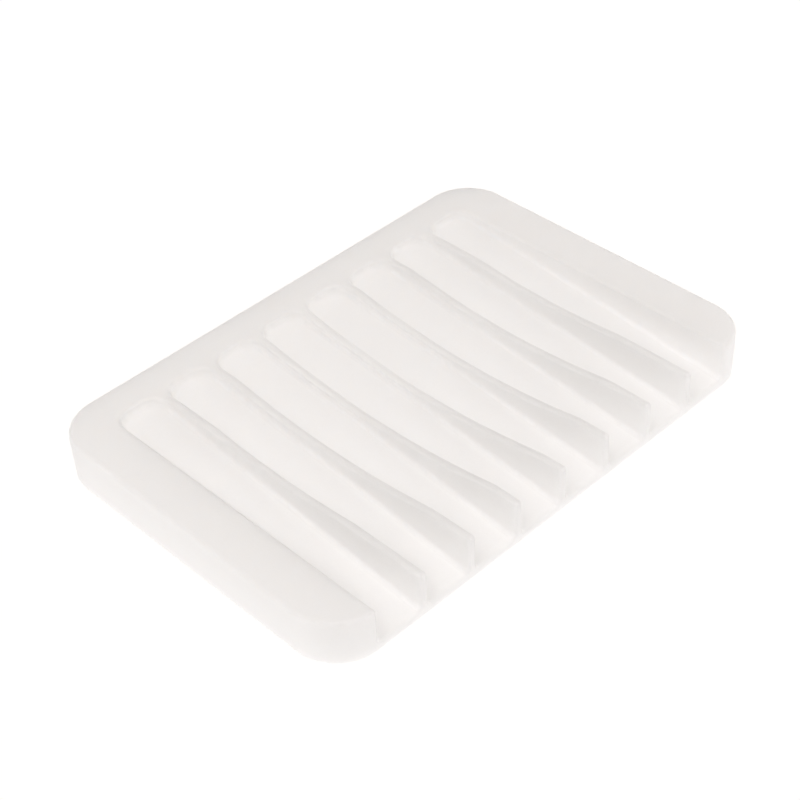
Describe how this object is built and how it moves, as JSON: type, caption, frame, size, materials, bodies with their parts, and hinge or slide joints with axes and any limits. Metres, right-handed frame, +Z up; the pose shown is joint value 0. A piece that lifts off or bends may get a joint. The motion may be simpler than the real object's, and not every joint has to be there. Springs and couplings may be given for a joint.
{
  "type": "draining soap dish",
  "caption": "Low silicone slab with rounded corners, sloping open-ended drain grooves and thin ribs dipped to hold a bar of soap.",
  "frame": {"origin": "middle of the flat underside", "axes": "+X along the long side, -Y towards the draining edge where the grooves open, +Z up out of the grooves"},
  "size_m": [0.115, 0.08, 0.01],
  "materials": {
    "silicone": "soft matte translucent white silicone"
  },
  "bodies": {
    "root": {"soap_dish": "silicone"}
  },
  "joints": []
}
